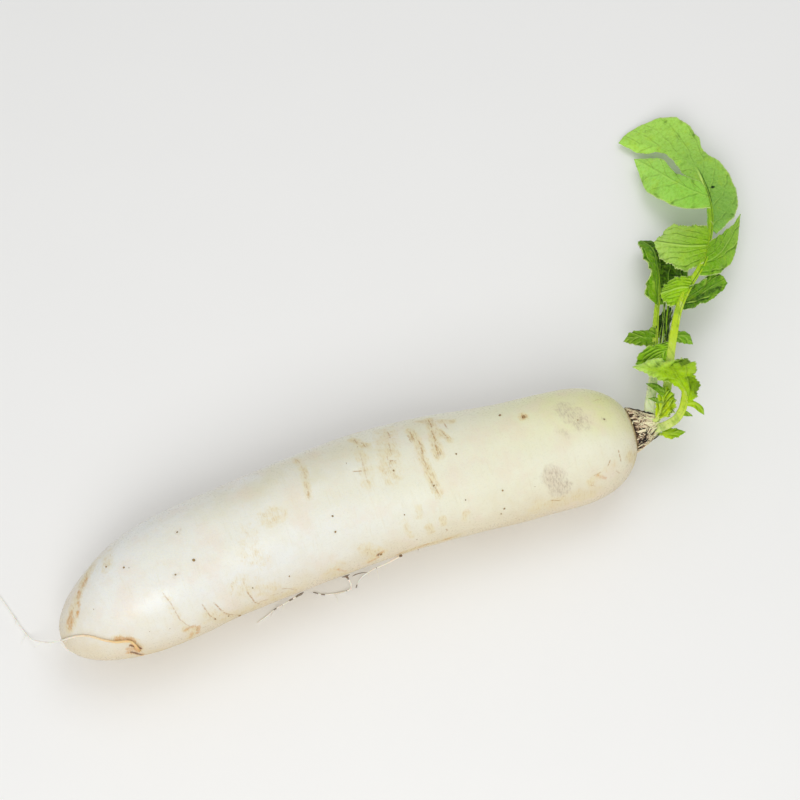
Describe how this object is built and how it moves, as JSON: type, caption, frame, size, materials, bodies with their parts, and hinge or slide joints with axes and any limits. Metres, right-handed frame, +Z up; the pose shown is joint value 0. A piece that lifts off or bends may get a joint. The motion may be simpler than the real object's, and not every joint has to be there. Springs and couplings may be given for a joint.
{
  "type": "white radish",
  "caption": "Long white radish lying on its side, with a dry leaf-base crown, lobed green leaves bent to one side and thin rootlets.",
  "frame": {"origin": "middle of the flat that the root rests on, under the middle of its length", "axes": "+X along the root from the tail tip to the crown, +Z up from the surface, the leaves bend to +Y"},
  "size_m": [0.4798, 0.2329, 0.0687],
  "materials": {
    "root_skin": "smooth moist skin, cream white, faintly yellow-green near the crown, with tan marks",
    "crown_fibre": "dry, fibrous old leaf bases, brown and straw",
    "rootlet_skin": "dry pale threads with dark specks",
    "leaf_green": "fresh mid green leaf with pale veins",
    "leaf_dark": "dark green leaf with a pale stalk",
    "leaf_lime": "yellow-green leaf with a thick pale stalk",
    "leaf_shoot": "young yellow-green leaf"
  },
  "bodies": {
    "root": {"radish_root": "root_skin", "crown": "crown_fibre", "leaf_large": "leaf_green", "leaf_folded": "leaf_dark", "leaf_curled": "leaf_lime", "leaf_young": "leaf_shoot", "leaf_bud": "leaf_shoot", "tail_rootlet": "rootlet_skin", "side_rootlet_1": "rootlet_skin", "side_rootlet_2": "rootlet_skin", "side_rootlet_3": "rootlet_skin"}
  },
  "joints": []
}
